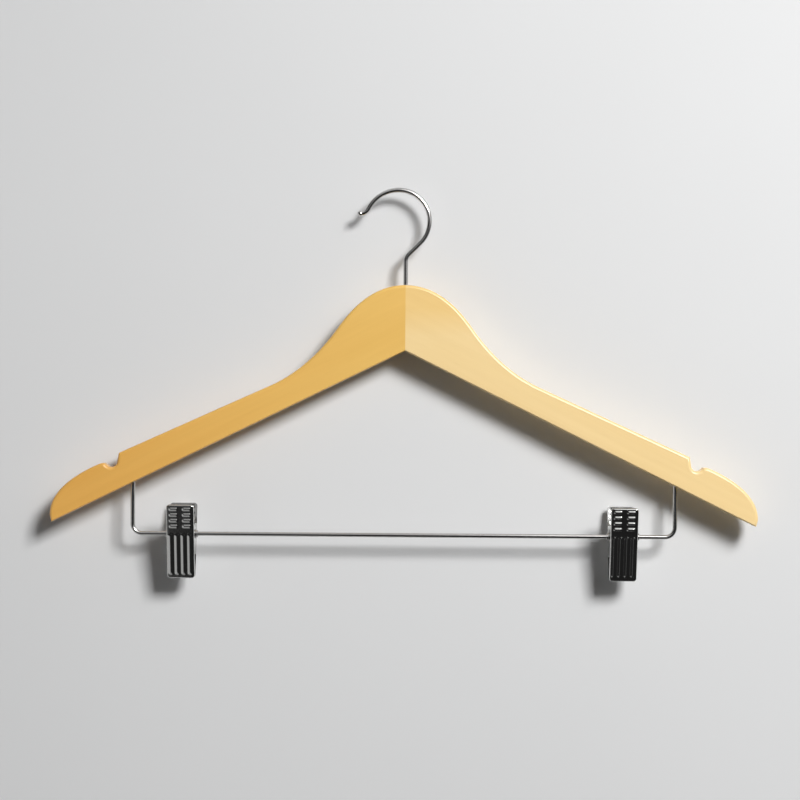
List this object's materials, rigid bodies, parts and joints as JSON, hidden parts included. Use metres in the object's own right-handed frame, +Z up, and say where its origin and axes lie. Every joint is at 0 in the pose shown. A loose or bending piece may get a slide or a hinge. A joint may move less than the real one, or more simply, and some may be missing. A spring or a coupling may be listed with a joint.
{
  "type": "trouser hanger",
  "caption": "Flat wooden hanger of two arms with a swivel wire hook, a wire trouser bar and sprung clips that slide on the bar.",
  "frame": {"origin": "on the hook's swivel axis, at the inside of the hook's arc, where a rail carries the hanger", "axes": "+X along the hanger towards the paler arm, the front faces -Y, +Z up along the swivel axis"},
  "size_m": [0.445, 0.027, 0.247],
  "materials": {
    "golden_wood": "satin varnish",
    "pale_wood": "satin varnish",
    "dowel_wood": "raw",
    "chrome_wire": "polished",
    "plated_sheet": "polished",
    "spring_steel": "bright",
    "nylon": "matte",
    "pad_rubber": "matte"
  },
  "bodies": {
    "hanger": {"left_arm": "golden_wood", "right_arm": "pale_wood", "upper_dowel": "dowel_wood", "lower_dowel": "dowel_wood", "hook_bush": "nylon", "trouser_bar": "chrome_wire"},
    "hook": {"hook": "chrome_wire"},
    "left_slider": {"left_pivot_tube": "plated_sheet"},
    "left_rear": {"left_rear_jaw": "plated_sheet", "left_rear_pad": "pad_rubber", "left_spring": "spring_steel"},
    "left_front": {"left_front_jaw": "plated_sheet", "left_front_pad": "pad_rubber"},
    "right_slider": {"right_pivot_tube": "plated_sheet"},
    "right_rear": {"right_rear_jaw": "plated_sheet", "right_rear_pad": "pad_rubber", "right_spring": "spring_steel"},
    "right_front": {"right_front_jaw": "plated_sheet", "right_front_pad": "pad_rubber"}
  },
  "joints": [
    {"name": "hook_swivel", "type": "hinge", "parent": "hanger", "child": "hook", "pos_m": [0, 0, 0], "axis": [0, 0, 1], "continuous": true},
    {"name": "left_clip_slide", "type": "slide", "parent": "hanger", "child": "left_slider", "axis": [1, 0, 0], "range_m": [-0.0142, 0.1288]},
    {"name": "left_clip_swing", "type": "hinge", "parent": "left_slider", "child": "left_rear", "pos_m": [-0.1398, 0, -0.21528], "axis": [1, 0, 0], "continuous": true},
    {"name": "left_clip_jaw", "type": "hinge", "parent": "left_rear", "child": "left_front", "pos_m": [-0.1398, 0, -0.21528], "axis": [-1, 0, 0], "range_deg": [0, 28], "stiffness_Nm_per_rad": 0.2, "springref_deg": -45.84, "deforming": ["left_spring"]},
    {"name": "right_clip_slide", "type": "slide", "parent": "hanger", "child": "right_slider", "axis": [1, 0, 0], "range_m": [-0.1265, 0.016]},
    {"name": "right_clip_swing", "type": "hinge", "parent": "right_slider", "child": "right_rear", "pos_m": [0.138, 0, -0.21528], "axis": [1, 0, 0], "continuous": true},
    {"name": "right_clip_jaw", "type": "hinge", "parent": "right_rear", "child": "right_front", "pos_m": [0.138, 0, -0.21528], "axis": [-1, 0, 0], "range_deg": [0, 28], "stiffness_Nm_per_rad": 0.2, "springref_deg": -45.84, "deforming": ["right_spring"]}
  ]
}
